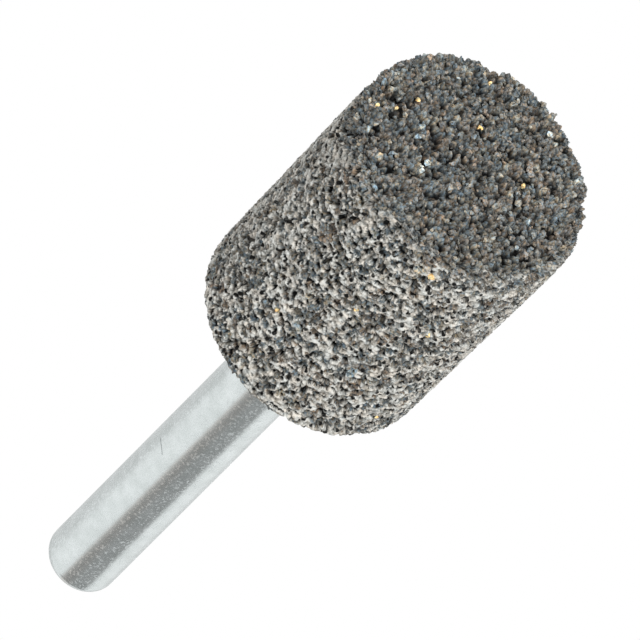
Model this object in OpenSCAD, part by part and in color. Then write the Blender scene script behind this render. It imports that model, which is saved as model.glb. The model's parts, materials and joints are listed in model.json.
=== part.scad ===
// Mounted point: a cylindrical abrasive head, cemented on a plain steel shank.
// The flat working face of the head lies on z = 0 and the shank points up along +Z,
// so the point stands on its head. All sizes are in millimetres.

/* [Abrasive head] */
// Diameter of the head at its working end
head_d = 20.2; // [14:0.1:40]
// How much narrower the head is at its shank end, the draft of the mould
head_draft = 0.6; // [0:0.1:2]
// Length of the head
head_length = 26; // [20:0.5:50]
// Radius of the rim around the working face
front_round = 1.2; // [0.2:0.1:3]
// Radius of the rim around the shank end
back_round = 0.5; // [0.2:0.1:3]

/* [Pits] */
// Distance between the main pits in the head's surface
pit_spacing = 2.4; // [2:0.1:5]
// Depth of a middling pit, the corner that a blocky grain left, about 2.4 times as wide as it is deep
pit_depth = 0.4; // [0.1:0.05:0.6]
// Depth of the smallest pit, as a share of a middling one
pit_smallest = 0.6; // [0.4:0.05:1]
// Depth of the largest pit, as a share of a middling one
pit_largest = 1.25; // [1:0.05:1.3]
// How far a pit may stray from its even place
pit_stray = 0.55; // [0:0.05:0.6]

/* [Shank] */
// Diameter of the shank, which is the size of the collet
shank_d = 6; // [3:0.5:8]
// Length of the shank that stands out of the head
shank_reach = 40; // [20:1:80]
// Radius of the shank's rounded end
shank_end_round = 1.2; // [0.2:0.1:1.4]
// Length of the tang, the part of the shank inside the head
tang_length = 15; // [6:0.5:17]
// Length of the relief turned between the knurl and the bare shank
neck_length = 1.5; // [0.5:0.5:3]
// How much deeper than the knurl's grooves that relief is turned
neck_relief = 0.1; // [0.05:0.05:0.3]
// Length of the taper at the tang's tip
tang_taper = 0.8; // [0.2:0.1:2]

/* [Knurl] */
// Number of straight ridges around the tang
knurl_ridges = 30; // [18:1:40]
// Height that rolling raised the ridges above the shank's surface
knurl_rise = 0.1; // [0.05:0.05:0.2]
// Depth of the grooves below the shank's surface
knurl_depth = 0.2; // [0.05:0.05:0.4]

/* [Cement] */
// Thickness of the cement between the ridges and the wall of the bore
cement_wall = 0.2; // [0.1:0.05:0.5]
// Thickness of the cement under the tip of the tang
cement_floor = 0.6; // [0.2:0.1:2]

/* [Hidden] */
$fn = 96;

head_r = head_d / 2;
head_back_r = head_r - head_draft / 2;
draft_angle = atan2(head_r - head_back_r, head_length);

shank_r = shank_d / 2;
shank_end = head_length + shank_reach;
tang_start = head_length - tang_length;
knurl_end = head_length - neck_length;
ridge_r = shank_r + knurl_rise;
groove_r = shank_r - knurl_depth;
neck_r = groove_r - neck_relief;

bore_r = ridge_r + cement_wall;
bore_depth = tang_length + cement_floor;
// How far a cut runs past the face that it opens
cut_past = 1;

// Even places for pits: staggered rows along the side, a row on the front rim, rings on the flat ends
row_pitch = pit_spacing * sin(60);
pit_rows = floor((head_length - front_round - back_round) / row_pitch);
pit_columns = floor(2 * PI * head_back_r / pit_spacing);
pit_reach = pit_depth * pit_largest * sqrt(2) + pit_stray;
face_rings = floor((head_r - front_round - pit_reach) / pit_spacing);
back_rings = floor((head_back_r - back_round - bore_r - 2 * pit_reach) / pit_spacing);
// Seeds of the scattered pits, one for each row or ring from these on
side_seed = 100;
rim_seed = 200;
face_seed = 300;
back_seed = 400;

// Outward direction of the head's side, in the plane of the profile
side_normal = [cos(draft_angle), sin(draft_angle)];

// Centre of a rim's arc of radius r, whose flat face lies at height face_z
function rim_centre(r, face_z) =
    let (z = face_z == 0 ? r : face_z - r)
    [head_r - (r + side_normal[1] * z) / side_normal[0], z];

// Half of the head's section: flat ends, a tapered side and a true arc at each rim
module head_section() {
    front = rim_centre(front_round, 0);
    back = rim_centre(back_round, head_length);
    polygon([
        [0, 0],
        [front[0], 0],
        front + front_round * side_normal,
        back + back_round * side_normal,
        [back[0], head_length],
        [0, head_length]
    ]);
    translate(front) circle(front_round);
    translate(back) circle(back_round);
}

// The blind hole that the tang is cemented in, running past the head's end by overshoot
module bore(overshoot = 0) {
    translate([0, 0, head_length - bore_depth])
        cylinder(r = bore_r, h = bore_depth + overshoot);
}

// Radius of the head's side at height z
function wall_r(z) = head_r - (head_r - head_back_r) * z / head_length;

// Angle that an arc of that length takes up at radius r
function arc_angle(length, r) = length / r * 180 / PI;

// How the pits of a row differ: two ways to stray, their sizes and their turns
function strays(count, seed, way) = rands(-pit_stray, pit_stray, count, 4 * seed + way);
function pit_sizes(count, seed) = rands(pit_smallest, pit_largest, count, 4 * seed + 2);
function pit_turns(count, seed) = rands(0, 120, count, 4 * seed + 3);

// A block that stands on its corner and cuts a pit of that size in a surface at z = 0
module pit(size, turn) {
    depth = pit_depth * size;
    translate([0, 0, -depth])
        rotate([45, -atan(1 / sqrt(2)), turn]) cube(3 * depth);
}

// Pits all over the side, in staggered rows
module side_pits() {
    margin = (head_length - front_round - back_round - (pit_rows - 1) * row_pitch) / 2;
    for (row = [0 : 1 : pit_rows - 1]) {
        up = strays(pit_columns, side_seed + row, 0);
        around = strays(pit_columns, side_seed + row, 1);
        size = pit_sizes(pit_columns, side_seed + row);
        turn = pit_turns(pit_columns, side_seed + row);
        for (i = [0 : pit_columns - 1]) {
            z = front_round + margin + row * row_pitch + up[i];
            even = (i + row % 2 / 2) * 360 / pit_columns;
            rotate(even + arc_angle(around[i], head_r))
                translate([wall_r(z), 0, z])
                    rotate([0, 90, 0]) pit(size[i], turn[i]);
        }
    }
}

// Pits that notch the rim around the working face
module rim_pits() {
    around = strays(pit_columns, rim_seed, 1);
    size = pit_sizes(pit_columns, rim_seed);
    turn = pit_turns(pit_columns, rim_seed);
    centre = rim_centre(front_round, 0);
    for (i = [0 : pit_columns - 1])
        rotate(i * 360 / pit_columns + arc_angle(around[i], head_r))
            translate([centre[0], 0, centre[1]])
                rotate([0, 135, 0]) translate([0, 0, front_round]) pit(size[i], turn[i]);
}

// Pits in rings on a flat end at z = 0 that faces up, from the radius first_r outwards
module end_pits(first_r, rings, first_seed) {
    for (ring = [0 : 1 : rings - 1]) {
        r = first_r + ring * pit_spacing;
        count = floor(2 * PI * r / pit_spacing);
        out = strays(count, first_seed + ring, 0);
        around = strays(count, first_seed + ring, 1);
        size = pit_sizes(count, first_seed + ring);
        turn = pit_turns(count, first_seed + ring);
        for (i = [0 : count - 1])
            rotate(i * 360 / count + arc_angle(around[i], r))
                translate([r + out[i], 0, 0]) pit(size[i], turn[i]);
    }
}

// Bonded abrasive grain, pressed and fired as one piece around the bore, with pits where grains broke out
module abrasive_head() {
    color("dimgray")
        difference() {
            rotate_extrude() head_section();
            bore(cut_past);
            side_pits();
            rim_pits();
            mirror([0, 0, 1]) end_pits(pit_spacing, face_rings, face_seed);
            translate([0, 0, head_length])
                end_pits(bore_r + pit_reach + pit_spacing / 2, back_rings, back_seed);
        }
}

// Half of the section of the turned shank, from the knurl to its rounded end
module shank_section() {
    polygon([
        [0, knurl_end],
        [neck_r, knurl_end],
        [neck_r, head_length],
        [shank_r, head_length],
        [shank_r, shank_end - shank_end_round],
        [shank_r - shank_end_round, shank_end],
        [0, shank_end]
    ]);
    translate([shank_r - shank_end_round, shank_end - shank_end_round])
        circle(shank_end_round);
}

// Cross-section of the knurl: V ridges and grooves in turn
module knurl_section() {
    half_pitch = 180 / knurl_ridges;
    polygon([
        for (i = [0 : 2 * knurl_ridges - 1])
            let (r = i % 2 == 0 ? ridge_r : groove_r)
            r * [cos(i * half_pitch), sin(i * half_pitch)]
    ]);
}

// Half of the section that the tang's tip is turned to, wider than the ridges above the taper
module tip_section() {
    polygon([
        [0, tang_start],
        [ridge_r - tang_taper / 2, tang_start],
        [ridge_r + cut_past, tang_start + tang_taper + 2 * cut_past],
        [ridge_r + cut_past, knurl_end],
        [0, knurl_end]
    ]);
}

// The knurled length that the cement grips, with a tapered tip
module knurl() {
    intersection() {
        translate([0, 0, tang_start])
            linear_extrude(knurl_end - tang_start) knurl_section();
        rotate_extrude() tip_section();
    }
}

// One steel bar: the turned shank and the knurl at its lower end
module shank_solid() {
    rotate_extrude() shank_section();
    knurl();
}

module shank() {
    color("silver") shank_solid();
}

// Cured cement: fills the bore around and under the tang, flush with the head's end
module bonding_cement() {
    color("tan")
        difference() {
            bore();
            shank_solid();
        }
}

abrasive_head();
shank();
bonding_cement();
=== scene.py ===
"""Looks of a mounted point: bonded abrasive grain on a drawn steel shank."""

import json
import math
import random

import bmesh
import bpy
from mathutils import Matrix, Vector

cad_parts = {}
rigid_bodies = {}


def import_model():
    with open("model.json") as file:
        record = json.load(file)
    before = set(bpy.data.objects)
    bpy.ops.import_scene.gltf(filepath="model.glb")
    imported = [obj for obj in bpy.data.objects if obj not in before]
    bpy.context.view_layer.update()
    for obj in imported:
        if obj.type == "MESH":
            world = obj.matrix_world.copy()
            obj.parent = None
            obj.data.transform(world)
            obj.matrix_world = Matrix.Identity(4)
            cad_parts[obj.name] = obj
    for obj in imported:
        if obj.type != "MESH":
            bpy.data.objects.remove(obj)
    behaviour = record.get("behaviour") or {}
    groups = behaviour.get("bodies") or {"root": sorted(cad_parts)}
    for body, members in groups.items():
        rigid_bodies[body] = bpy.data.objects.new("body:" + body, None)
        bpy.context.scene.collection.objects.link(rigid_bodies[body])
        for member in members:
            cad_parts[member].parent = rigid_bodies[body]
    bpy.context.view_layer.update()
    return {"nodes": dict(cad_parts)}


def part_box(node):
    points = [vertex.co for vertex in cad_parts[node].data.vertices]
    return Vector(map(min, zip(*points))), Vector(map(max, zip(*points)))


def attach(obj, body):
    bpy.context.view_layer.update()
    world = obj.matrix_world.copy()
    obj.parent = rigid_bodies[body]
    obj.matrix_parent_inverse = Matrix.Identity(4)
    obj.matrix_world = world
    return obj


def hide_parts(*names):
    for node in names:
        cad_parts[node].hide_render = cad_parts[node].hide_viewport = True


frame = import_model()

MM = 0.001

# Sizes of the head, as in the part's source
HEAD_R = 10.1 * MM
HEAD_BACK_R = 9.8 * MM
HEAD_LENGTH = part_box("abrasive_head")[1][2]
FRONT_ROUND = 1.2 * MM
BACK_ROUND = 0.5 * MM
BORE_R = 3.3 * MM
# Height of the shank's free end in millimetres
SHANK_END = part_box("shank")[1][2] / MM

# Camera, found by fitting the outline of the part to the photograph's
FRAME_PIXELS = 640
SENSOR = 36
VIEW_TILT = math.radians(41.47)
VIEW_ROLL = math.radians(225.028)
CAMERA_DISTANCE = 1111 * MM
AIM_POINT = Vector((0, 0, 12 * MM))
AIM_PIXEL = (400.77, 239.51)
PIXELS_PER_METRE = 13150
CLIP_START, CLIP_END = 0.01, 20

# Light
PLAIN_WHITE = (1, 1, 1, 1)
WORLD_LIGHT = 0.62
FLOOR_SIZE = 3.0
CARD_AIM = Vector((0, 0, 45 * MM))
CARDS = [
    # name, bearing from -Y towards -X, rise, distance, half its size, brightness
    ("dark_card", 38.5, 48.5, 0.5, 0.24, 0.34),
    ("pale_card", -155, 48.5, 0.5, 0.435, 0.72),
    ("low_card_left", -30, -8, 0.1, 0.04, 0.45),
    ("low_card_right", 80, -8, 0.1, 0.04, 0.45),
    ("low_card_back", 150, -8, 0.1, 0.04, 0.45),
    ("low_card_far", -110, -8, 0.1, 0.04, 0.45),
]
LAMPS = [
    # name, direction from the part, distance, size, power
    ("softbox_front", (-0.2, -0.43, -0.88), 0.9, 0.25, 4.8),
    ("softbox_back", (-0.05, 0.75, 0.6), 0.9, 0.35, 7.5),
]

# Scratch on the shank, 1.4 mm of an arc on the side towards -Y, in millimetres
SCRATCH_MIDDLE = (1.84, -2.37, 46.0)
SCRATCH_REACH = 0.7
SCRATCH_CENTRE = (2.38, -2.37, 47.79)
SCRATCH_BEND = 1.87
SCRATCH_HALF_WIDTH = 0.045

# Colours of the stone: each is for the picks from that place up to the next
STONE_KINDS = [
    (0.00, "#6a7073"),
    (0.28, "#747472"),
    (0.54, "#787470"),
    (0.74, "#7f7f7b"),
    (0.87, "#7d746c"),
    (0.95, "#a09c92"),
    (0.976, "#8d989d"),
    (0.980, "#a3aaab"),
    (0.984, "#e2c48e"),
]
# Picks of the accent grains. Other grains stop short of the gold
BLUISH, WHITE, GOLD = 0.978, 0.982, 0.994
LAST_PICK = 0.984

# Seats of the grains in the bond, about half a millimetre apart
FACE_SPACING = 0.50 * MM
SIDE_SPACING = 0.66 * MM
# Whole grains that stand out of the bond
LOOSE_FACE_SPACING = 0.5 * MM
LOOSE_SIDE_SPACING = 1.5 * MM
SMALL_GRAIN, LARGE_GRAIN = 0.32 * MM, 0.87 * MM
# Bubbles in the bond of the moulded skin
BUBBLE_SPACING = 0.85 * MM
# Points to the square metre that the seats are picked from
SEAT_DENSITY = 2e7
# Grains that show in the moulded skin, to the millimetre
SIDE_CELLS = 1.12
# How steeply a rough grain may lean, in millimetres to the metre
LEAN = 450
# The rough grains of the working face go this far up the side
ROUGH_LENGTH = 4.0 * MM
# Pores show from this height on
PORE_START = 1.0 * MM
# How far outside the solid the probe for its pits starts
PROBE_LIFT = 1.0 * MM

# Gold grains on the side: bearing from -Y towards -X in degrees, then height and size in millimetres
SIDE_ACCENTS = [
    (21, 2.2, 1.0),
    (42, 9.3, 0.6),
    (8, 10.3, 0.6),
    (58, 22.5, 0.65),
    (-17, 17.1, 0.7),
    (120, 16.0, 0.65),
    (-110, 20.0, 0.6),
    (-150, 9.0, 0.6),
]
# Light grains on the working face: x, y and size in millimetres, and colour
FACE_ACCENTS = [
    (6.5, 0.6, 0.55, GOLD),
    (8.4, -2.6, 0.5, GOLD),
    (7.2, -1.5, 0.45, GOLD),
    (3.6, 7.1, 0.5, GOLD),
    (1.7, 3.1, 0.6, GOLD),
    (-3.7, 2.0, 0.6, GOLD),
    (-2.4, 7.6, 0.8, WHITE),
    (2.6, -3.2, 0.8, WHITE),
    (4.5, -2.1, 0.8, BLUISH),
]
# Pieces of whole grains: seats, how deep they sit in millimetres, how much deeper in hollows and up
# the side, dust, range of brightness, and seed
GRAIN_PIECES = [
    ("face_grains", "loose_face_seats", (0.17, 0.47), 0.5, 0.28, 0.2, (0.48, 1.75), 40),
    ("accent_grains", "accent_seats", (0.08, 0.14), 0.0, 0.0, 0.0, (1.2, 1.5), 50),
    ("side_grains", "loose_side_seats", (0.12, 0.22), 0.0, 0.0, 0.4, (0.5, 0.9), 60),
]
# Shapes of grains, in units of a grain's size
GRAIN_SHAPES = 14
GRAIN_POINTS = 15
GRAIN_REACH = 0.42
CHIP_POINTS = 8
SHAPE_SEED = 11
FULL_TURN = 6.283

# Meshes: the guides that seats are spread on, and the moulded skin
GUIDE_STEP = 0.3 * MM
GUIDE_AROUND = 192
SKIN_STEP = 0.09 * MM


def linear(hex_colour):
    """Turns an sRGB hex colour into the linear colour that a socket takes."""
    channels = [int(hex_colour[i:i + 2], 16) / 255 for i in (1, 3, 5)]
    return [c / 12.92 if c <= 0.04045 else ((c + 0.055) / 1.055) ** 2.4 for c in channels] + [1]


def add(tree, kind, links=None, **settings):
    """Adds a node with its settings, and links or sets its inputs by name or number."""
    node = tree.nodes.new(kind)
    for name, value in settings.items():
        setattr(node, name, value)
    for key, value in (links or {}).items():
        if isinstance(value, bpy.types.NodeSocket):
            tree.links.new(value, node.inputs[key])
        else:
            node.inputs[key].default_value = value
    return node


def maths(tree, operation, *values):
    return add(tree, "ShaderNodeMath", dict(enumerate(values)), operation=operation).outputs[0]


def total(tree, value, *others):
    for other in others:
        value = maths(tree, "ADD", value, other)
    return value


def product(tree, value, *others):
    for other in others:
        value = maths(tree, "MULTIPLY", value, other)
    return value


def vector_maths(tree, operation, *values):
    """Result of a vector node: a number where the operation gives one."""
    node = add(tree, "ShaderNodeVectorMath", dict(enumerate(values)), operation=operation)
    return node.outputs["Value" if operation in ("DISTANCE", "DOT_PRODUCT", "LENGTH") else "Vector"]


def scaled(tree, vector, factor):
    return add(tree, "ShaderNodeVectorMath", {0: vector, "Scale": factor}, operation="SCALE").outputs[0]


def ranged(tree, value, start, end, low=0.0, high=1.0, **settings):
    """Maps what lies between start and end to what lies between low and high, and stops there."""
    sockets = {"Value": value, "From Min": start, "From Max": end, "To Min": low, "To Max": high}
    return add(tree, "ShaderNodeMapRange", sockets, **settings).outputs[0]


def between(tree, share, low, high):
    return ranged(tree, share, 0.0, 1.0, low, high)


def noise(tree, at, scale, detail, roughness=0.5):
    sockets = {"Vector": at, "Scale": scale, "Detail": detail, "Roughness": roughness}
    return add(tree, "ShaderNodeTexNoise", sockets).outputs[0]


def from_axis(tree, at):
    """Parts of a place, the place without its height, and its distance from the part's axis."""
    parts = tuple(add(tree, "ShaderNodeSeparateXYZ", {0: at}).outputs)
    flat = add(tree, "ShaderNodeCombineXYZ", {0: parts[0], 1: parts[1]}).outputs[0]
    return parts, flat, vector_maths(tree, "LENGTH", flat)


def show(obj):
    bpy.context.scene.collection.objects.link(obj)
    return obj


def mesh_object(name, vertices, faces):
    mesh = bpy.data.meshes.new(name)
    mesh.from_pydata(vertices, [], faces)
    mesh.update()
    return show(bpy.data.objects.new(name, mesh))


def square(name, half):
    """Flat square that faces up."""
    corners = [(-half, -half, 0), (half, -half, 0), (half, half, 0), (-half, half, 0)]
    return mesh_object(name, corners, [(0, 1, 2, 3)])


def hide_from(obj, *rays):
    for ray in rays:
        setattr(obj, "visible_" + ray, False)


def set_apart(middle, toward, distance):
    """Place at a distance from the middle, with its Z axis pointing away from it."""
    turn = toward.to_track_quat("Z", "Y").to_matrix().to_4x4()
    return Matrix.Translation(middle + toward * distance) @ turn


def place_camera():
    """The camera's axes follow from the part's axis as the picture shows it: x right, y down, z away."""
    axis = Vector((
        math.sin(VIEW_TILT) * math.cos(VIEW_ROLL),
        -math.sin(VIEW_TILT) * math.sin(VIEW_ROLL),
        math.cos(VIEW_TILT),
    ))
    across = Vector((math.sin(VIEW_ROLL), math.cos(VIEW_ROLL), 0))
    part_axes = Matrix((across, axis.cross(across), axis))
    offset = [(pixel - FRAME_PIXELS / 2) / PIXELS_PER_METRE for pixel in AIM_PIXEL]
    place = AIM_POINT + part_axes @ Vector((-offset[0], -offset[1], -CAMERA_DISTANCE))
    right, down, away = (part_axes @ Vector(v) for v in ((1, 0, 0), (0, 1, 0), (0, 0, 1)))
    data = bpy.data.cameras.new("camera")
    data.sensor_width = SENSOR
    data.lens = PIXELS_PER_METRE * CAMERA_DISTANCE * SENSOR / FRAME_PIXELS
    data.clip_start = CLIP_START
    data.clip_end = CLIP_END
    camera = show(bpy.data.objects.new("camera", data))
    turn = Matrix((right, -down, -away)).transposed().to_4x4()
    camera.matrix_world = Matrix.Translation(place) @ turn
    bpy.context.scene.camera = camera


def new_material(name):
    """A material with an empty tree, and the tree."""
    material = bpy.data.materials.new(name)
    material.use_nodes = True
    material.node_tree.nodes.clear()
    return material, material.node_tree


def reflection_card(name, bearing, rise, distance, half, level):
    """A grey card that only the steel's reflections show."""
    turn, rise = math.radians(bearing), math.radians(rise)
    toward = Vector((
        -math.sin(turn) * math.cos(rise),
        -math.cos(turn) * math.cos(rise),
        math.sin(rise),
    ))
    card = square(name, half)
    card.data.transform(set_apart(CARD_AIM, toward, distance))
    hide_from(card, "camera", "diffuse", "transmission", "shadow")
    grey, tree = new_material(name)
    glow = add(tree, "ShaderNodeEmission", {"Color": PLAIN_WHITE, "Strength": level})
    add(tree, "ShaderNodeOutputMaterial", {"Surface": glow.outputs[0]})
    card.data.materials.append(grey)
    return card


def white_paper():
    """White paper that only its upper side shows, because the photograph looks from below the floor."""
    material, tree = new_material("white_paper")
    side = add(tree, "ShaderNodeNewGeometry").outputs["Backfacing"]
    sheet = add(tree, "ShaderNodeBsdfDiffuse", {"Color": linear("#f4f4f2")})
    clear = add(tree, "ShaderNodeBsdfTransparent")
    mix = add(tree, "ShaderNodeMixShader", {0: side, 1: sheet.outputs[0], 2: clear.outputs[0]})
    add(tree, "ShaderNodeOutputMaterial", {"Surface": mix.outputs[0]})
    return material


def light_studio():
    """A white room, two soft lamps, a paper floor, and grey cards for the steel's reflections."""
    scene = bpy.context.scene
    scene.view_settings.view_transform = "Standard"
    world = bpy.data.worlds.new("white_room")
    scene.world = world
    world.use_nodes = True
    tree = world.node_tree
    tree.nodes.clear()
    path = add(tree, "ShaderNodeLightPath").outputs
    seen = maths(tree, "MAXIMUM", path["Is Camera Ray"], path["Is Glossy Ray"])
    seen = maths(tree, "MAXIMUM", seen, path["Is Transmission Ray"])
    strength = between(tree, seen, WORLD_LIGHT, 1.0)
    room = add(tree, "ShaderNodeBackground", {"Color": PLAIN_WHITE, "Strength": strength})
    add(tree, "ShaderNodeOutputWorld", {"Surface": room.outputs[0]})

    middle = Vector((0, 0, HEAD_LENGTH / 2))
    for name, direction, distance, size, power in LAMPS:
        data = bpy.data.lights.new(name, "AREA")
        data.shape = "DISK"
        data.size = size
        data.energy = power
        lamp = show(bpy.data.objects.new(name, data))
        lamp.matrix_world = set_apart(middle, Vector(direction).normalized(), distance)

    floor = square("floor", FLOOR_SIZE / 2)
    hide_from(floor, "diffuse", "glossy", "transmission", "shadow")
    floor.data.materials.append(white_paper())
    cards = [reflection_card(*card) for card in CARDS]


def place_in_mm(tree):
    return scaled(tree, add(tree, "ShaderNodeTexCoord").outputs["Object"], 1 / MM)


def read(tree, name):
    """A number that the mesh carries, for a material."""
    return add(tree, "ShaderNodeAttribute", attribute_name=name).outputs["Fac"]


def mixed(tree, amount, first, second):
    """A colour between two."""
    return add(tree, "ShaderNodeMix", {0: amount, 6: first, 7: second}, data_type="RGBA").outputs[2]


def bump(tree, height, strength, distance):
    sockets = {"Height": height, "Strength": strength, "Distance": distance}
    return add(tree, "ShaderNodeBump", sockets).outputs[0]


def surface(tree, sockets):
    """Ends a material's tree."""
    shader = add(tree, "ShaderNodeBsdfPrincipled", sockets)
    add(tree, "ShaderNodeOutputMaterial", {"Surface": shader.outputs[0]})


def steel_bar():
    """Drawn steel bar, bright and a little dull: faint lines, fine pits and a warm strip along one side."""
    material, tree = new_material("drawn_steel_bar")
    at = place_in_mm(tree)
    # Drawing lines are 0.15 mm apart and about 8 mm long, pits 0.2 mm across and blotches 1.4 mm
    stretched = add(tree, "ShaderNodeMapping", {"Vector": at, "Scale": (6.5, 6.5, 0.12)}).outputs[0]
    lines = noise(tree, stretched, 1.0, 2.0)
    pits = noise(tree, at, 4.6, 2.0, 0.6)
    blotches = noise(tree, at, 0.7, 3.0)
    worn = ranged(tree, total(tree, pits, blotches), 0.75, 1.25)
    tone = mixed(tree, worn, linear("#d0d7d6"), linear("#e5ebeb"))
    # A warm strip a millimetre wide with soft edges, speckled by the pits, on the side towards -Y
    parts = add(tree, "ShaderNodeSeparateXYZ", {0: at}).outputs
    one_edge = ranged(tree, parts[0], -1.0, -0.4)
    other_edge = ranged(tree, parts[0], 0.05, 0.3, 1.0, 0.0)
    front = maths(tree, "LESS_THAN", parts[1], 0.0)
    warm_strip = product(tree, one_edge, other_edge, front, pits)
    strip_toned = mixed(tree, warm_strip, tone, linear("#c6c1ba"))
    # Pits are dull spots
    spots = ranged(tree, pits, 0.54, 0.64, 0.0, 0.28)
    dull = total(tree, between(tree, lines, 0.2, 0.29), spots)
    height = maths(tree, "MULTIPLY_ADD", lines, 0.1, pits)
    from_centre = vector_maths(tree, "DISTANCE", at, SCRATCH_CENTRE)
    on_arc = maths(tree, "COMPARE", from_centre, SCRATCH_BEND, SCRATCH_HALF_WIDTH)
    from_middle = vector_maths(tree, "DISTANCE", at, SCRATCH_MIDDLE)
    within = maths(tree, "LESS_THAN", from_middle, SCRATCH_REACH)
    marked = mixed(tree, product(tree, on_arc, within), strip_toned, linear("#8c9292"))
    # The free end is cut off and turned: greyer and duller than the drawn side
    turned = ranged(tree, parts[2], SHANK_END - 0.5, SHANK_END - 0.1)
    surface(tree, {
        "Base Color": mixed(tree, turned, marked, linear("#8b9191")),
        "Metallic": 1.0,
        "Roughness": maths(tree, "MULTIPLY_ADD", turned, 0.12, dull),
        "Normal": bump(tree, height, 0.08, 0.03 * MM),
    })
    return material


def cured_cement():
    """Cured filler cement: matt, warm and mottled in spots of a quarter of a millimetre."""
    material, tree = new_material("cured_cement")
    mottle = noise(tree, place_in_mm(tree), 4.0, 3.0)
    surface(tree, {
        "Base Color": mixed(tree, mottle, linear("#7d7260"), linear("#b3a78f")),
        "Roughness": 0.85,
        "Normal": bump(tree, mottle, 0.5, 0.05 * MM),
    })
    return material


def stone_colour(tree, at):
    """Crushed fused alumina at a place in millimetres: dark grains, a few brown, tan, white or bluish.

    Returns the colour and the specks on it.
    """
    ramp = add(tree, "ShaderNodeValToRGB", {"Fac": read(tree, "pick")})
    ramp.color_ramp.interpolation = "CONSTANT"
    elements = ramp.color_ramp.elements
    for number, (position, colour) in enumerate(STONE_KINDS):
        element = elements[number] if number < 2 else elements.new(position)
        element.position = position
        element.color = linear(colour)
    # Specks on a grain are about 0.2 mm across, and so are warm and cool places
    specks = noise(tree, at, 4.5, 3.0, 0.65)
    # The specks make the stone 0.15 to 2.1 times as bright: its own mottle, and partly painted highlights
    # and painted shade on the grains
    level = product(tree, read(tree, "shade"), ranged(tree, specks, 0.33, 0.67, 0.15, 2.1))
    warm = ranged(tree, noise(tree, at, 4.0, 2.0, 0.6), 0.38, 0.62)
    tint = mixed(tree, warm, (0.82, 0.99, 1.13, 1), (1.2, 1.0, 0.76, 1))
    hued = vector_maths(tree, "MULTIPLY", ramp.outputs[0], tint)
    return scaled(tree, hued, level), specks


def abrasive_grain():
    """Whole grains: crushed fused alumina with a little dust, chipped and half glassy."""
    material, tree = new_material("fused_alumina_grain")
    at = place_in_mm(tree)
    stone, specks = stone_colour(tree, at)
    # Painted shade: what lies deeper below the mould's wall and face is darker, and the tops are a little
    # lighter
    parts, _, reach = from_axis(tree, at)
    inside = maths(tree, "SUBTRACT", HEAD_R / MM, reach)
    deep = maths(tree, "MINIMUM", parts[2], inside)
    stone = scaled(tree, stone, ranged(tree, deep, 0.2, 0.65, 1.12, 0.4))
    # Dust lies in spots of 0.2 mm; near the sheltered rim there is more, partly as painted pale glints
    dusted = ranged(tree, noise(tree, at, 5.0, 2.0), 0.52, 0.66, 0.0, 0.75)
    surface(tree, {
        "Base Color": mixed(tree, product(tree, dusted, read(tree, "film")), stone, linear("#c3c0b8")),
        "Roughness": 0.38,
        "IOR": 1.5,
        "Specular IOR Level": 0.3,
        "Normal": bump(tree, specks, 1.0, 0.15 * MM),
    })
    return material


def bond_skin():
    """Grain in vitrified bond: pale, mottled glaze where it met the mould, bare stone, and pores and
    hollows painted dark as their shade.
    """
    material, tree = new_material("vitrified_bond_skin")
    # rest is the place in millimetres before the relief, so a scale is one over the size of a blotch
    at = add(tree, "ShaderNodeAttribute", attribute_name="rest").outputs["Vector"]
    cover = read(tree, "cover")
    stone, specks = stone_colour(tree, at)
    pale = ranged(tree, noise(tree, at, 2.2, 3.0, 0.7), 0.36, 0.58)
    glaze = mixed(tree, pale, linear("#96938c"), linear("#f6f3ec"))
    warm = ranged(tree, noise(tree, at, 1.6, 1.0), 0.4, 0.65)
    tint = mixed(tree, warm, (0.95, 0.99, 1.01, 1), (1.0, 0.965, 0.92, 1))
    tinted = vector_maths(tree, "MULTIPLY", glaze, tint)
    # Between bare grains the stone lies in shade
    shadow = between(tree, cover, 0.08, 1.0)
    stone = scaled(tree, stone, ranged(tree, read(tree, "crease"), 0.2, 0.42, 1.15, shadow))
    # The glaze's edge is lacy: it strays by less than 0.2 mm over 0.15 mm
    stray = between(tree, noise(tree, at, 6.5, 2.0, 0.6), -0.18, 0.18)
    glazed = ranged(tree, total(tree, read(tree, "web"), stray), -0.05, 0.05)
    dressed = mixed(tree, product(tree, glazed, cover), stone, tinted)
    # Painted shade: pores and deep hollows are painted near black
    painted_pore_shade = ranged(tree, read(tree, "pore"), -0.02, 0.03, 1.0, 0.0)
    sunk = ranged(tree, read(tree, "depth"), 0.4, 0.85)
    dark = maths(tree, "MAXIMUM", painted_pore_shade, sunk)
    # Pinholes in the glaze, up to 0.35 mm across and about 0.9 mm apart, are painted near black as shade
    # too
    bubbles = add(tree, "ShaderNodeTexVoronoi", {"Vector": at, "Scale": 1.5}).outputs["Distance"]
    pinhole = product(tree, ranged(tree, bubbles, 0.23, 0.3, 1.0, 0.0), cover)
    dark = maths(tree, "MAXIMUM", dark, pinhole)
    relief = add(tree, "ShaderNodeBump", {
        "Height": pinhole,
        "Strength": 0.8,
        "Distance": 0.2 * MM,
        "Normal": bump(tree, specks, 0.7, 0.1 * MM),
    }, invert=True)
    surface(tree, {
        "Base Color": mixed(tree, dark, dressed, linear("#121212")),
        "Roughness": 0.6,
        "Specular IOR Level": 0.12,
        "Normal": relief.outputs[0],
    })
    return material


def wall_radius(z):
    """Radius of the mould's wall at height z."""
    return HEAD_R + (HEAD_BACK_R - HEAD_R) * z / HEAD_LENGTH


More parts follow.
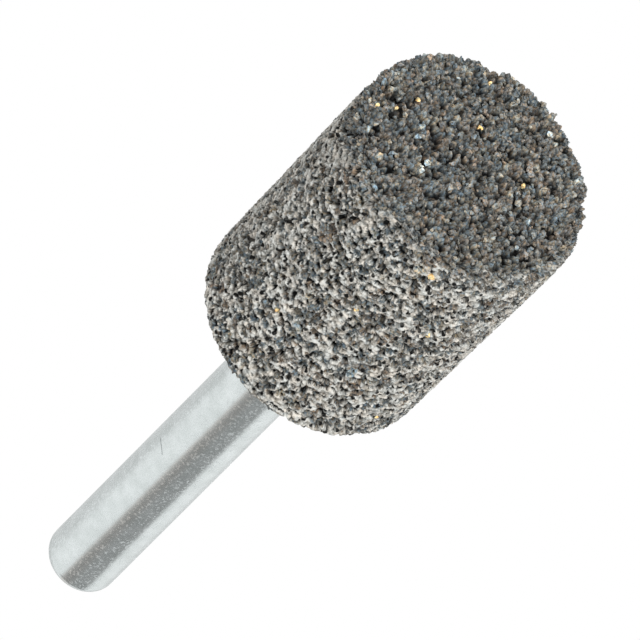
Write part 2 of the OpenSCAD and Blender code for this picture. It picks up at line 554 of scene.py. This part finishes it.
def head_outline(step):
    """Half outline of the head from the middle of the working face to the bore, in about such steps."""
    back_z = HEAD_LENGTH - BACK_ROUND
    front_r = wall_radius(FRONT_ROUND) - FRONT_ROUND
    back_r = wall_radius(back_z) - BACK_ROUND
    wall_start = (wall_radius(FRONT_ROUND), FRONT_ROUND)
    wall_end = (wall_radius(back_z), back_z)
    # Each straight line, and the arc after it by its centre, radius and first angle
    runs = [
        ((0, 0), (front_r, 0), (front_r, FRONT_ROUND, FRONT_ROUND, -90)),
        (wall_start, wall_end, (back_r, back_z, BACK_ROUND, 0)),
        ((back_r, HEAD_LENGTH), (BORE_R, HEAD_LENGTH), None),
    ]
    points = []
    for start, end, arc in runs:
        count = max(2, round(math.dist(start, end) / step))
        for i in range(count + 1):
            points.append(tuple(a + (b - a) * i / count for a, b in zip(start, end)))
        if arc is None:
            continue
        r, z, radius, first_angle = arc
        count = max(3, round(radius * math.pi / 2 / step))
        for i in range(1, count):
            angle = math.radians(first_angle + 90 * i / count)
            points.append((r + radius * math.cos(angle), z + radius * math.sin(angle)))
    return points


def revolve(name, outline, around):
    """Surface turned about the part's axis, facing outwards. A first point on the axis is one vertex."""
    vertices, faces, rings = [], [], []
    for r, z in outline:
        if r == 0:
            rings.append([len(vertices)] * around)
            vertices.append((0, 0, z))
            continue
        rings.append(list(range(len(vertices), len(vertices) + around)))
        for i in range(around):
            angle = 2 * math.pi * i / around
            vertices.append((r * math.cos(angle), r * math.sin(angle), z))
    for lower, upper in zip(rings, rings[1:]):
        for i in range(around):
            j = (i + 1) % around
            corners = [lower[i], lower[j], upper[j], upper[i]]
            faces.append(list(dict.fromkeys(corners)))
    return mesh_object(name, vertices, faces)


def run_tree(name, base, tree, values):
    """Runs a node tree on a base mesh and keeps the result as a plain mesh object."""
    modifier = base.modifiers.new(name, "NODES")
    modifier.node_group = tree
    names = {item.name: item.identifier for item in tree.interface.items_tree if item.in_out == "INPUT"}
    for key, value in values.items():
        modifier[names[key]] = value
    graph = bpy.context.evaluated_depsgraph_get()
    shaped = base.evaluated_get(graph)
    mesh = bpy.data.meshes.new_from_object(shaped, preserve_all_data_layers=True, depsgraph=graph)
    mesh.name = name
    base.modifiers.remove(modifier)
    return show(bpy.data.objects.new(name, mesh))


def new_tree(name, inputs):
    """A geometry tree with its named inputs. Returns the tree and the inputs' sockets."""
    tree = bpy.data.node_groups.new(name, "GeometryNodeTree")
    tree.interface.new_socket("Geometry", in_out="INPUT", socket_type="NodeSocketGeometry")
    for key, kind in inputs.items():
        tree.interface.new_socket(key, in_out="INPUT", socket_type="NodeSocket" + kind)
    tree.interface.new_socket("Geometry", in_out="OUTPUT", socket_type="NodeSocketGeometry")
    return tree, add(tree, "NodeGroupInput").outputs


def place_of(tree):
    return add(tree, "GeometryNodeInputPosition").outputs[0]


def store(tree, geometry, name, value, kind="FLOAT", domain="POINT"):
    """Keeps a value on the mesh, under a name. Returns the geometry."""
    sockets = {"Geometry": geometry, "Name": name, "Value": value}
    return add(tree, "GeometryNodeStoreNamedAttribute", sockets, data_type=kind, domain=domain).outputs[0]


def kept(tree, name, kind="FLOAT"):
    """Node that reads what the mesh keeps under a name."""
    return add(tree, "GeometryNodeInputNamedAttribute", {"Name": name}, data_type=kind)


def unless_kept(tree, name, value):
    """A value, or what the mesh keeps under a name instead."""
    own = kept(tree, name).outputs
    sockets = {0: own["Exists"], 1: value, 2: own[0]}
    return add(tree, "GeometryNodeSwitch", sockets, input_type="FLOAT").outputs[0]


def drawn(tree, low, high, seed, number=None):
    """A random value, for each element or for each grain's number."""
    sockets = {2: low, 3: high, "Seed": seed}
    if number is not None:
        sockets["ID"] = number
    return add(tree, "FunctionNodeRandomValue", sockets, data_type="FLOAT").outputs[1]


def seats_tree():
    """Seats for grains: points spread over a surface, none closer than the spacing, with its normal."""
    tree, given = new_tree("grain_seats", {"Spacing": "Float", "Seed": "Int"})
    spread = add(tree, "GeometryNodeDistributePointsOnFaces", {
        "Mesh": given["Geometry"],
        "Distance Min": given["Spacing"],
        "Density Max": SEAT_DENSITY,
        "Seed": given["Seed"],
    }, distribute_method="POISSON").outputs
    points = store(tree, spread["Points"], "outward", spread["Normal"], "FLOAT_VECTOR")
    seats = add(tree, "GeometryNodePointsToVertices", {"Points": points})
    add(tree, "NodeGroupOutput", {0: seats.outputs[0]})
    return tree


def any_way(dice):
    return Vector((dice.gauss(0, 1), dice.gauss(0, 1), dice.gauss(0, 1))).normalized()


def grain_shapes():
    """Crushed grains, about one unit across: a blocky, sharp hull of scattered points and a chip on it."""
    dice = random.Random(SHAPE_SEED)
    shapes = bpy.data.collections.new("grain_shapes")
    for number in range(GRAIN_SHAPES):
        mesh = bpy.data.meshes.new(f"grain_{number}")
        both = bmesh.new()
        lean = any_way(dice)
        chip_reach = dice.uniform(0.2, 0.32)
        blocks = ((lean * -0.1, GRAIN_REACH, GRAIN_POINTS), (lean * 0.25, chip_reach, CHIP_POINTS))
        for middle, reach, points in blocks:
            build = bmesh.new()
            stretch = Vector((dice.uniform(0.9, 1.15), dice.uniform(0.75, 1.0), dice.uniform(0.65, 0.95)))
            for _ in range(points):
                way = any_way(dice)
                build.verts.new(middle + way * stretch * reach * dice.uniform(0.8, 1.1))
            bmesh.ops.convex_hull(build, input=build.verts)
            loose = [v for v in build.verts if not v.link_faces]
            bmesh.ops.delete(build, geom=loose, context="VERTS")
            build.to_mesh(mesh)
            build.free()
            both.from_mesh(mesh)
        both.to_mesh(mesh)
        both.free()
        shapes.objects.link(bpy.data.objects.new(f"grain_{number}", mesh))
    return shapes


def rim_fields(tree, at):
    """What differs around the rim of the working face, at a place in millimetres.

    Returns how sheltered it is, which is most towards -X and -Y, where the moulded skin reaches over
    the rim, how near the rim it is, and how deep it is chipped.
    """
    shelter = ranged(tree, vector_maths(tree, "DOT_PRODUCT", at, (-0.45, -0.6, 0)), -2.0, 5.0)
    parts, _, reach = from_axis(tree, at)
    near = product(tree, ranged(tree, reach, 7.6, 9.4), ranged(tree, parts[2], 0.6, 3.0, 1.0, 0.0))
    # A chip is two or three millimetres long
    bite = ranged(tree, noise(tree, at, 0.36, 1.0), 0.5, 0.68, 0.0, 0.3)
    return shelter, near, product(tree, near, bite, between(tree, shelter, 1.0, 0.1))


def press_to_mould(tree, place):
    """A place that passes the cone of the mould's wall or its flat ends, pressed back to them."""
    parts, flat, reach = from_axis(tree, place)
    low = add(tree, "ShaderNodeClamp", {"Value": parts[2], "Min": 0.0, "Max": HEAD_LENGTH}).outputs[0]
    wall = ranged(tree, low, 0.0, HEAD_LENGTH, HEAD_R, HEAD_BACK_R)
    press = maths(tree, "MINIMUM", maths(tree, "DIVIDE", wall, reach), 1.0)
    level = add(tree, "ShaderNodeCombineXYZ", {2: low}).outputs[0]
    return vector_maths(tree, "ADD", scaled(tree, flat, press), level)


def grain_depth(tree, given, size, seat):
    """How deep below the surface a grain of that size sits."""
    # Small grains sit deeper, so that none floats, and hollows are one or two millimetres across
    less = maths(tree, "SUBTRACT", given["Size To"], size)
    sunk = drawn(tree, given["Sunk From"], given["Sunk To"], given["Seed"])
    sunk = maths(tree, "MULTIPLY_ADD", less, 0.2, sunk)
    hollow = ranged(tree, noise(tree, seat, 0.8 / MM, 2.0), 0.5, 0.66, 0.0, given["Clump"])
    deep = total(tree, sunk, hollow)
    # Rim grains stand out, unless they are small or sheltered, and go down with the chips
    shelter, near, chip = rim_fields(tree, scaled(tree, seat, 1 / MM))
    stands = between(tree, shelter, -0.22 * MM, 0.02 * MM)
    held = maths(tree, "MULTIPLY_ADD", less, 0.4, stands)
    deep = maths(tree, "MULTIPLY_ADD", near, held, deep)
    deep = maths(tree, "MULTIPLY_ADD", chip, MM, deep)
    # They vanish along the side
    height = add(tree, "ShaderNodeSeparateXYZ", {0: seat}).outputs[2]
    return total(tree, deep, ranged(tree, height, 0.4 * MM, ROUGH_LENGTH, 0.0, given["Vanish"]))


def grains_tree():
    """Puts a turned and scaled grain on each seat, sunk below the surface and pressed into the mould."""
    tree, given = new_tree("grains", {
        "Shapes": "Collection",
        "Size From": "Float",
        "Size To": "Float",
        "Sunk From": "Float",
        "Sunk To": "Float",
        "Clump": "Float",
        "Vanish": "Float",
        "Film": "Float",
        "Shade From": "Float",
        "Shade To": "Float",
        "Seed": "Int",
        "Material": "Material",
    })
    # Each draw has a seed of its own, counted on from the piece's
    turn_seed, size_seed, pick_seed, shade_seed = (
        maths(tree, "ADD", given["Seed"], step) for step in (1.0, 2.0, 3.0, 4.0)
    )
    size = drawn(tree, given["Size From"], given["Size To"], size_seed)
    size = unless_kept(tree, "across", size)
    down = product(tree, grain_depth(tree, given, size, place_of(tree)), -1.0)
    shift = scaled(tree, kept(tree, "outward", "FLOAT_VECTOR").outputs[0], down)
    seated = add(tree, "GeometryNodeSetPosition", {"Geometry": given["Geometry"], "Offset": shift})
    shapes = add(tree, "GeometryNodeCollectionInfo", {
        "Collection": given["Shapes"], "Separate Children": True, "Reset Children": True,
    })
    turn = add(tree, "FunctionNodeRandomValue", {
        0: (0, 0, 0), 1: (FULL_TURN, FULL_TURN, FULL_TURN), "Seed": turn_seed,
    }, data_type="FLOAT_VECTOR")
    placed = add(tree, "GeometryNodeInstanceOnPoints", {
        "Points": seated.outputs[0],
        "Instance": shapes.outputs[0],
        "Pick Instance": True,
        "Rotation": turn.outputs[0],
        "Scale": size,
    })
    pick = unless_kept(tree, "kind", drawn(tree, 0.0, LAST_PICK, pick_seed))
    shade = drawn(tree, given["Shade From"], given["Shade To"], shade_seed)
    geometry = store(tree, placed.outputs[0], "pick", pick, domain="INSTANCE")
    geometry = store(tree, geometry, "shade", shade, domain="INSTANCE")
    whole = add(tree, "GeometryNodeRealizeInstances", {"Geometry": geometry})
    place = place_of(tree)
    pressed = press_to_mould(tree, place)
    cut = add(tree, "GeometryNodeSetPosition", {"Geometry": whole.outputs[0], "Position": pressed})
    # Near the sheltered rim the grains get more pale dust: partly dust, partly painted pale glints on that
    # rim
    shelter, near, _ = rim_fields(tree, scaled(tree, place, 1 / MM))
    film = maths(tree, "MULTIPLY_ADD", product(tree, shelter, near), 0.9, given["Film"])
    geometry = store(tree, cut.outputs[0], "film", film)
    faceted = add(tree, "GeometryNodeSetShadeSmooth", {"Geometry": geometry, "Shade Smooth": False})
    done = add(tree, "GeometryNodeSetMaterial", {
        "Geometry": faceted.outputs[0], "Material": given["Material"],
    })
    add(tree, "NodeGroupOutput", {0: done.outputs[0]})
    return tree


def nearest_seat(tree, seats, at):
    """The seat nearest to a place: its distance in millimetres, where it is, and its number."""
    points = add(tree, "GeometryNodeObjectInfo", {"Object": seats}).outputs["Geometry"]
    sockets = {"Geometry": points, "Sample Position": at}
    near = add(tree, "GeometryNodeProximity", sockets, target_element="POINTS").outputs
    number = add(tree, "GeometryNodeSampleNearest", sockets, domain="POINT").outputs[0]
    return product(tree, near["Distance"], 1 / MM), near["Position"], number


def solid_pits(tree, head, at, normal):
    """Depth of the solid head's pits in millimetres, read along the way inwards."""
    solid = add(tree, "GeometryNodeObjectInfo", {"Object": head}).outputs["Geometry"]
    probe = add(tree, "GeometryNodeRaycast", {
        "Target Geometry": solid,
        "Source Position": vector_maths(tree, "ADD", at, scaled(tree, normal, PROBE_LIFT)),
        "Ray Direction": scaled(tree, normal, -1.0),
        "Ray Length": 2 * PROBE_LIFT,
    })
    hit = probe.outputs["Hit Distance"]
    return ranged(tree, hit, PROBE_LIFT, 2 * PROBE_LIFT, 0.0, PROBE_LIFT / MM)


def skin_cover(tree, at, shelter, pit):
    """Where the moulded skin is: how far it has faded, its relief's share, and its glaze's share."""
    # It thins out towards the working face in a ragged edge
    parts, _, reach = from_axis(tree, at)
    edge = maths(tree, "MULTIPLY_ADD", noise(tree, at, 0.55, 3.0), -5.0, parts[2])
    # The flat face has none beyond its rim, and it reaches further where that is sheltered
    inner = ranged(tree, reach, 5.5, 9.5, -2.6, 0.0)
    edge = maths(tree, "MULTIPLY_ADD", inner, maths(tree, "LESS_THAN", parts[2], 2.0), edge)
    edge = total(tree, edge, between(tree, shelter, -0.9, 1.5))
    fade = ranged(tree, edge, -2.8, 0.8)
    # It is broken in the pits
    whole = ranged(tree, pit, 0.03, 0.14, 1.0, 0.0)
    return fade, product(tree, ranged(tree, edge, -0.9, -0.1), whole), product(tree, fade, whole)


def rough_depth(tree, at, crumbs, gap, off_seat, number):
    """Depth of rough grains: tilted lumps, creases, crumbs, and hollows a millimetre or two across."""
    lean = add(tree, "FunctionNodeRandomValue", {
        0: (-LEAN, -LEAN, -LEAN), 1: (LEAN, LEAN, LEAN), "ID": number, "Seed": 6,
    }, data_type="FLOAT_VECTOR")
    tilt = vector_maths(tree, "DOT_PRODUCT", off_seat, lean.outputs[0])
    sits = drawn(tree, 0.1, 0.35, 7, number)
    lump = maths(tree, "MULTIPLY_ADD", maths(tree, "POWER", gap, 2.0), 3.0, sits)
    crumb = ranged(tree, crumbs, 0.3, 0.7, -0.15, 0.15)
    hollow = ranged(tree, noise(tree, at, 0.8, 2.0), 0.5, 0.7, 0.0, 0.45)
    return total(tree, lump, tilt, crumb, hollow)


def moulded_skin(tree, at, warp, fade, crumbs):
    """Grains pressed flush with the wall, and a lace of glaze along their borders.

    Returns three random numbers of each grain, its border's distance, the lace and the depth.
    """
    warped = vector_maths(tree, "ADD", at, scaled(tree, warp, 0.4))
    sockets = {"Vector": warped, "Scale": SIDE_CELLS}
    cells = add(tree, "ShaderNodeTexVoronoi", sockets, feature="F1")
    borders = add(tree, "ShaderNodeTexVoronoi", sockets, feature="DISTANCE_TO_EDGE")
    chance = tuple(add(tree, "ShaderNodeSeparateXYZ", {0: cells.outputs["Color"]}).outputs)
    border = product(tree, borders.outputs["Distance"], 1 / SIDE_CELLS)
    width = ranged(tree, noise(tree, at, 0.6, 2.0), 0.35, 0.65, 0.0, 0.16)
    covered = ranged(tree, chance[2], 0.75, 1.0, 0.0, 0.25)
    web = total(tree, maths(tree, "SUBTRACT", width, border), covered)
    web = maths(tree, "SUBTRACT", web, between(tree, fade, 0.15, 0.0))
    pocket = ranged(tree, web, -0.08, 0.04, 1.0, 0.0, interpolation_type="SMOOTHSTEP")
    bare = between(tree, chance[1], 0.03, 0.2)
    rub = ranged(tree, crumbs, 0.3, 0.7, 0.0, 0.11)
    return chance, border, web, total(tree, product(tree, pocket, bare), rub)


def blended(tree, share, first, second):
    """A number between two."""
    return add(tree, "ShaderNodeMix", {0: share, 2: first, 3: second}, data_type="FLOAT").outputs[0]


def skin_tree():
    """Surface of the bonded grain: moulded skin with bare patches and pores, and a rough working face."""
    tree, given = new_tree("skin", {
        "Head": "Object", "Seats": "Object", "Bubbles": "Object", "Material": "Material",
    })
    place = place_of(tree)
    normal = add(tree, "GeometryNodeInputNormal").outputs[0]
    rest = scaled(tree, place, 1 / MM)
    geometry = store(tree, given["Geometry"], "rest", rest, "FLOAT_VECTOR")
    at = kept(tree, "rest", "FLOAT_VECTOR").outputs[0]
    # Wander of the edges, 0.1 mm over 0.3 mm
    wander = add(tree, "ShaderNodeTexNoise", {"Vector": at, "Scale": 3.3, "Detail": 1.0})
    wander = vector_maths(tree, "SUBTRACT", wander.outputs["Color"], (0.5, 0.5, 0.5))
    moved = vector_maths(tree, "ADD", place, scaled(tree, wander, 0.45 * MM))
    crumbs = noise(tree, at, 3.5, 2.0)

    shelter, near_rim, chip = rim_fields(tree, at)
    pit = total(tree, solid_pits(tree, given["Head"], moved, normal), chip)
    gap, seat, number = nearest_seat(tree, given["Seats"], moved)
    off_seat = vector_maths(tree, "SUBTRACT", moved, seat)
    fade, sheet, cover = skin_cover(tree, at, shelter, pit)
    rough = rough_depth(tree, at, crumbs, gap, off_seat, number)
    chance, border, web, skin = moulded_skin(tree, at, wander, fade, crumbs)
    # Pores: round bubbles of all sizes
    off_bubble, _, bubble = nearest_seat(tree, given["Bubbles"], place)
    pore = maths(tree, "SUBTRACT", off_bubble, drawn(tree, 0.08, 0.27, 9, bubble))
    burst = ranged(tree, pore, -0.06, 0.05, 0.6, 0.0, interpolation_type="SMOOTHSTEP")
    skin = maths(tree, "MAXIMUM", skin, burst)
    # The open rim stands out with its grains
    proud = product(tree, between(tree, shelter, 0.2, 0.0), near_rim)
    deep = maths(tree, "SUBTRACT", blended(tree, sheet, rough, skin), proud)
    deep = total(tree, maths(tree, "MAXIMUM", deep, 0.0), pit)

    # The crease sets where the stone gets painted shade between grains; it is strongest right at the
    # borders of moulded grains
    crack = ranged(tree, border, 0.0, 0.12, 0.42, 0.2)
    for name, value in (
        ("depth", deep),
        ("cover", cover),
        ("web", web),
        ("pore", pore),
        ("crease", blended(tree, sheet, gap, crack)),
    ):
        geometry = store(tree, geometry, name, value)
    # A grain has one colour, so these two aren't blended from corner to corner
    moulded = maths(tree, "GREATER_THAN", sheet, 0.5)
    pick = product(tree, blended(tree, moulded, drawn(tree, 0.0, 1.0, 1, number), chance[0]), LAST_PICK)
    flush = between(tree, chance[1], 1.0, 0.46)
    shade = blended(tree, moulded, drawn(tree, 0.6, 1.2, 2, number), flush)
    for name, value in (("pick", pick), ("shade", shade)):
        geometry = store(tree, geometry, name, value, domain="FACE")
    inward = product(tree, kept(tree, "depth").outputs[0], -MM)
    shift = scaled(tree, normal, inward)
    sunk = add(tree, "GeometryNodeSetPosition", {"Geometry": geometry, "Offset": shift})
    smooth = add(tree, "GeometryNodeSetShadeSmooth", {"Geometry": sunk.outputs[0]})
    done = add(tree, "GeometryNodeSetMaterial", {
        "Geometry": smooth.outputs[0], "Material": given["Material"],
    })
    add(tree, "NodeGroupOutput", {0: done.outputs[0]})
    return tree


def accent_seats():
    """Seats of the accent grains, with the way out of the surface and the size and colour of each."""
    rows = []
    for bearing, height, size in SIDE_ACCENTS:
        turn = math.radians(bearing)
        out = Vector((-math.sin(turn), -math.cos(turn), 0))
        rows.append((out * wall_radius(height * MM) + Vector((0, 0, height * MM)), out, size, GOLD))
    for x, y, size, colour in FACE_ACCENTS:
        rows.append((Vector((x, y, 0)) * MM, Vector((0, 0, -1)), size, colour))
    seats = mesh_object("accent_seats", [row[0] for row in rows], [])
    seats.data.attributes.new("outward", "FLOAT_VECTOR", "POINT")
    for name in ("across", "kind"):
        seats.data.attributes.new(name, "FLOAT", "POINT")
    outward, across, kind = (seats.data.attributes[name] for name in ("outward", "across", "kind"))
    for number, (_, out, size, colour) in enumerate(rows):
        outward.data[number].vector = out
        across.data[number].value = size * MM
        kind.data[number].value = colour
    return seats


def joined_seats(name, *parts):
    """One mesh of all the seats of several."""
    joined = bmesh.new()
    for part in parts:
        joined.from_mesh(part.data)
    mesh = bpy.data.meshes.new(name)
    joined.to_mesh(mesh)
    joined.free()
    return show(bpy.data.objects.new(name, mesh))


def face_grid(name, step, radius):
    """Flat round sheet of small squares at the working face, facing down."""
    count = math.ceil(radius / step)
    numbers, vertices, faces = {}, [], []
    for i in range(-count, count):
        for j in range(-count, count):
            if math.hypot((i + 0.5) * step, (j + 0.5) * step) > radius:
                continue
            corners = []
            for corner in ((i, j), (i, j + 1), (i + 1, j + 1), (i + 1, j)):
                if corner not in numbers:
                    numbers[corner] = len(vertices)
                    vertices.append((corner[0] * step, corner[1] * step, 0))
                corners.append(numbers[corner])
            faces.append(corners)
    return mesh_object(name, vertices, faces)


def skin_sheets():
    """Smooth sheets that the surface is made of: the face, three lengths of the side, and the shank end."""
    outline = head_outline(SKIN_STEP)
    # The side's sheets start two steps inside the flat face, and the face's sheet laps over the first
    rim = max(i for i, (r, z) in enumerate(outline) if z == 0) - 2
    last = max(i for i, (r, z) in enumerate(outline) if z <= HEAD_LENGTH - BACK_ROUND + 1e-9)
    lengths = ("skin_front", "skin_middle", "skin_rear")
    cuts = [rim + (last - rim) * i // len(lengths) for i in range(len(lengths) + 1)]
    around = round(2 * math.pi * HEAD_R / SKIN_STEP)
    sheets = [face_grid("face", SKIN_STEP, outline[rim][0] + SKIN_STEP)]
    for name, start, end in zip(lengths, cuts, cuts[1:]):
        sheets.append(revolve(name, outline[start:end + 1], around))
    sheets.append(revolve("skin_back", outline[last:], around // 2))
    return sheets


def build_head():
    """Head: the surface of the bonded grain in pieces that each stay light, and whole grains on it."""
    grain, skin = abrasive_grain(), bond_skin()
    seats, grains, skins = seats_tree(), grains_tree(), skin_tree()
    shapes = grain_shapes()
    outline = head_outline(GUIDE_STEP)
    rough_end = next(i for i, (r, z) in enumerate(outline) if z >= ROUGH_LENGTH)
    pores_start = next(i for i, (r, z) in enumerate(outline) if z >= PORE_START)
    rough = revolve("rough_guide", outline[:rough_end + 1], GUIDE_AROUND)
    moulded = revolve("moulded_guide", outline[rough_end:], GUIDE_AROUND)
    pored = revolve("pored_guide", outline[pores_start:], GUIDE_AROUND)
    spread = {"accent_seats": accent_seats()}
    for name, guide, spacing, seed in (
        ("face_seats", rough, FACE_SPACING, 3),
        ("side_seats", moulded, SIDE_SPACING, 5),
        ("bubbles", pored, BUBBLE_SPACING, 31),
        ("loose_face_seats", rough, LOOSE_FACE_SPACING, 21),
        ("loose_side_seats", moulded, LOOSE_SIDE_SPACING, 23),
    ):
        spread[name] = run_tree(name, guide, seats, {"Spacing": spacing, "Seed": seed})
    spread["all_seats"] = joined_seats("all_seats", spread["face_seats"], spread["side_seats"])

    pieces = []
    for name, on, sunk, clump, vanish, film, shade, seed in GRAIN_PIECES:
        pieces.append(run_tree(name, spread[on], grains, {
            "Shapes": shapes,
            "Size From": SMALL_GRAIN,
            "Size To": LARGE_GRAIN,
            "Sunk From": sunk[0] * MM,
            "Sunk To": sunk[1] * MM,
            "Clump": clump * MM,
            "Vanish": vanish * MM,
            "Film": film,
            "Shade From": shade[0],
            "Shade To": shade[1],
            "Seed": seed,
            "Material": grain,
        }))
    sheets = skin_sheets()
    for sheet in sheets:
        name = sheet.name
        sheet.name += "_sheet"
        pieces.append(run_tree(name, sheet, skins, {
            "Head": frame["nodes"]["abrasive_head"],
            "Seats": spread["all_seats"],
            "Bubbles": spread["bubbles"],
            "Material": skin,
        }))
    for helper in [*sheets, rough, moulded, pored, *spread.values(), *shapes.objects]:
        bpy.data.objects.remove(helper)
    bpy.data.collections.remove(shapes)
    for piece in pieces:
        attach(piece, "root")
        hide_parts("abrasive_head")


place_camera()
light_studio()
build_head()
for node, material in (("shank", steel_bar()), ("bonding_cement", cured_cement())):
    mesh = frame["nodes"][node].data
    mesh.materials.clear()
    mesh.materials.append(material)
